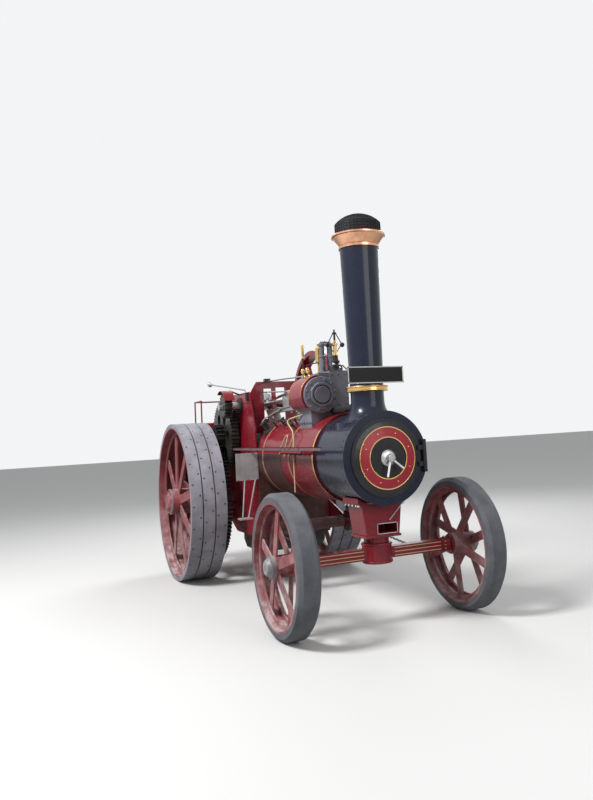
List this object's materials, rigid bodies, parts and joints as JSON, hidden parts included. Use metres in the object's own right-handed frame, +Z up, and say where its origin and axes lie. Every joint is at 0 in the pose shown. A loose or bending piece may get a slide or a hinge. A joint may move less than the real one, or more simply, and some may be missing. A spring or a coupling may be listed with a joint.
{
  "type": "steam traction engine",
  "caption": "Single-cylinder steam traction engine with horizontal boiler, tall chimney, large geared rear wheels, steered front axle, flywheel and tender.",
  "frame": {"origin": "on the ground in the middle of the engine's length and width", "axes": "+X forward towards the smokebox, +Y to the engine's left, +Z up"},
  "size_m": [4.972, 2.3, 3.614],
  "materials": {
    "smokebox_blue": "gloss blue-black paint",
    "door_black": "gloss black paint",
    "engine_red": "gloss deep red paint",
    "wheel_red": "faded dull red paint",
    "hoop_grey": "worn grey paint with rust at the bolts",
    "tyre_grey": "dusty grey rubber",
    "light_grey": "worn light grey paint",
    "cream": "cream paint",
    "brass": "polished brass",
    "copper": "polished copper",
    "bright_steel": "bright oiled steel",
    "dark_iron": "oily dark iron",
    "cylinder_grey": "dark grey paint on cast iron",
    "plate_black": "black plate with white edge",
    "wire_mesh": "sooty steel mesh"
  },
  "bodies": {
    "root": {"smokebox": "smokebox_blue", "tube_plate": "dark_iron", "chimney_base": "smokebox_blue", "chimney_band": "brass", "chimney_barrel": "smokebox_blue", "chimney_cap": "copper", "spark_arrester": "wire_mesh", "number_plate": "plate_black", "boiler_barrel": "engine_red", "boiler_bands": "cream", "firebox": "engine_red", "backhead": "dark_iron", "ashpan": "dark_iron", "horn_plate_right": "engine_red", "horn_plate_left": "engine_red", "cross_plate": "engine_red", "bearings": "dark_iron", "cylinder_block": "cylinder_grey", "cylinder_cladding": "engine_red", "cylinder_cover": "cylinder_grey", "safety_valves": "brass", "whistle": "brass", "governor": "brass", "guide_bars": "bright_steel", "crosshead": "bright_steel", "valve_link": "bright_steel", "perch_bracket": "engine_red", "steering_brackets": "engine_red", "steering_chains": "dark_iron", "side_bar": "light_grey", "gear_guard": "light_grey", "tender_tank": "engine_red", "footplate": "dark_iron", "tender_body": "engine_red", "drawbar": "dark_iron"},
    "front_axle": {"front_axle": "engine_red"},
    "front_wheel_right": {"front_wheel_right": "wheel_red", "front_tyre_right": "tyre_grey"},
    "front_wheel_left": {"front_wheel_left": "wheel_red", "front_tyre_left": "tyre_grey"},
    "rear_axle": {"rear_axle": "bright_steel", "final_gear": "dark_iron"},
    "rear_wheel_right": {"rear_wheel_right": "wheel_red", "rear_hoops_right": "hoop_grey"},
    "rear_wheel_left": {"rear_wheel_left": "wheel_red", "rear_hoops_left": "hoop_grey"},
    "second_shaft": {"second_shaft": "dark_iron"},
    "crankshaft": {"crankshaft": "bright_steel", "flywheel": "engine_red", "crank_pinion": "dark_iron"},
    "connecting_rod": {"connecting_rod": "bright_steel"},
    "forward_eccentric_rod": {"forward_eccentric_rod": "bright_steel"},
    "reverse_eccentric_rod": {"reverse_eccentric_rod": "bright_steel"},
    "smokebox_door": {"smokebox_door": "door_black", "door_ring": "engine_red", "door_dart": "bright_steel"},
    "fire_door": {"fire_door": "dark_iron"},
    "steering_barrel": {"steering_barrel": "dark_iron"},
    "steering_column": {"steering_column": "bright_steel", "hand_wheel": "dark_iron"}
  },
  "joints": [
    {"name": "steering", "type": "hinge", "parent": "root", "child": "front_axle", "pos_m": [1.893, 0, 0.593], "axis": [0, 0, 1], "range_deg": [-30, 30], "deforming": ["steering_chains"]},
    {"name": "front_right_roll", "type": "hinge", "parent": "front_axle", "child": "front_wheel_right", "pos_m": [1.893, -0.863, 0.593], "axis": [0, 1, 0], "continuous": true},
    {"name": "front_left_roll", "type": "hinge", "parent": "front_axle", "child": "front_wheel_left", "pos_m": [1.893, 0.863, 0.593], "axis": [0, 1, 0], "continuous": true},
    {"name": "rear_axle_turn", "type": "hinge", "parent": "root", "child": "rear_axle", "pos_m": [-1.343, 0, 0.93], "axis": [0, 1, 0], "continuous": true},
    {"name": "rear_right_roll", "type": "hinge", "parent": "rear_axle", "child": "rear_wheel_right", "pos_m": [-1.343, -0.8675, 0.93], "axis": [0, 1, 0], "continuous": true},
    {"name": "rear_left_roll", "type": "hinge", "parent": "rear_axle", "child": "rear_wheel_left", "pos_m": [-1.343, 0.8675, 0.93], "axis": [0, 1, 0], "continuous": true},
    {"name": "second_shaft_turn", "type": "hinge", "parent": "root", "child": "second_shaft", "pos_m": [-0.98652, 0, 1.68176], "axis": [0, 1, 0], "continuous": true},
    {"name": "crankshaft_turn", "type": "hinge", "parent": "root", "child": "crankshaft", "pos_m": [-0.585, 0, 2.02], "axis": [0, 1, 0], "continuous": true},
    {"name": "connecting_rod_swing", "type": "hinge", "parent": "crankshaft", "child": "connecting_rod", "pos_m": [-0.465, -0.2, 2.02], "axis": [0, 1, 0], "continuous": true},
    {"name": "forward_eccentric_swing", "type": "hinge", "parent": "crankshaft", "child": "forward_eccentric_rod", "pos_m": [-0.59998, -0.078, 2.05709], "axis": [0, 1, 0], "continuous": true},
    {"name": "reverse_eccentric_swing", "type": "hinge", "parent": "crankshaft", "child": "reverse_eccentric_rod", "pos_m": [-0.59998, -0.018, 1.98291], "axis": [0, 1, 0], "continuous": true},
    {"name": "smokebox_door_swing", "type": "hinge", "parent": "root", "child": "smokebox_door", "pos_m": [2.195, 0.364, 1.421], "axis": [0, 0, 1], "range_deg": [0, 100]},
    {"name": "fire_door_swing", "type": "hinge", "parent": "root", "child": "fire_door", "pos_m": [-0.914, -0.2, 1.29], "axis": [0, 0, 1], "range_deg": [0, 100]},
    {"name": "steering_barrel_turn", "type": "hinge", "parent": "root", "child": "steering_barrel", "pos_m": [0.33, 0, 0.7], "axis": [0, 1, 0], "range_deg": [-173, 173]},
    {"name": "steering_column_turn", "type": "hinge", "parent": "root", "child": "steering_column", "pos_m": [0.39137, 0.459, 0.82583], "axis": [-0.8988, 0, 0.4384], "range_deg": [-3458, 3458]}
  ],
  "couplings": [
    {"joint": "second_shaft_turn", "follows": "rear_axle_turn", "ratio": -5.5},
    {"joint": "connecting_rod_swing", "follows": "crankshaft_turn", "ratio": -1},
    {"joint": "forward_eccentric_swing", "follows": "crankshaft_turn", "ratio": -1},
    {"joint": "reverse_eccentric_swing", "follows": "crankshaft_turn", "ratio": -1},
    {"joint": "steering_barrel_turn", "follows": "steering", "ratio": 5.73},
    {"joint": "steering_column_turn", "follows": "steering", "ratio": 114.6}
  ]
}
